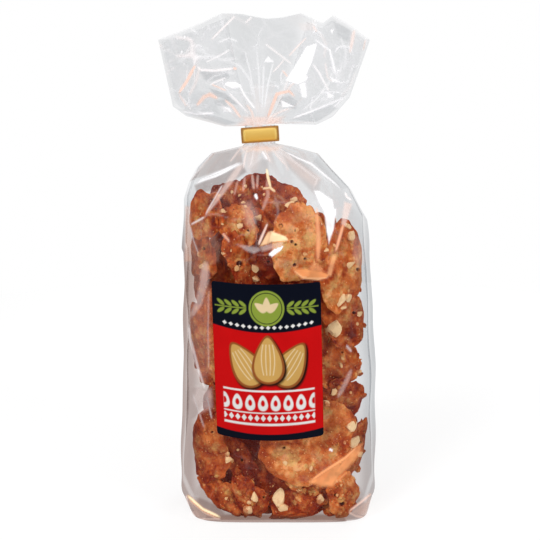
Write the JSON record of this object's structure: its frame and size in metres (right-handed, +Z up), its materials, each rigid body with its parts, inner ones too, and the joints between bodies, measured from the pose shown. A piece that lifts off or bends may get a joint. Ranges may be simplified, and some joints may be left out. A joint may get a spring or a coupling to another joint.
{
  "type": "bag of almond biscuits",
  "caption": "Clear gusseted film bag with a flat base, pleated shoulders, a gathered neck in a gold clip, a ruffled open mouth and a front label, filled with craggy almond biscuits.",
  "frame": {"origin": "centre of the bounding box's lowest face, on the surface that the bag stands on", "axes": "+Z up, the bag's height; -Y towards the front, where the label is; +X to the viewer's right"},
  "size_m": [0.1114, 0.0758, 0.2567],
  "materials": {
    "clear_film": "clear, thin, glossy, creased",
    "gold_clip": "satin gold, pressed",
    "label_paper": "coated, semi-gloss, printed",
    "biscuit": "baked, craggy, slightly sugary",
    "almond": "toasted, matt"
  },
  "bodies": {
    "root": {"bag": "clear_film", "clip": "gold_clip", "label": "label_paper"}
  },
  "joints": []
}
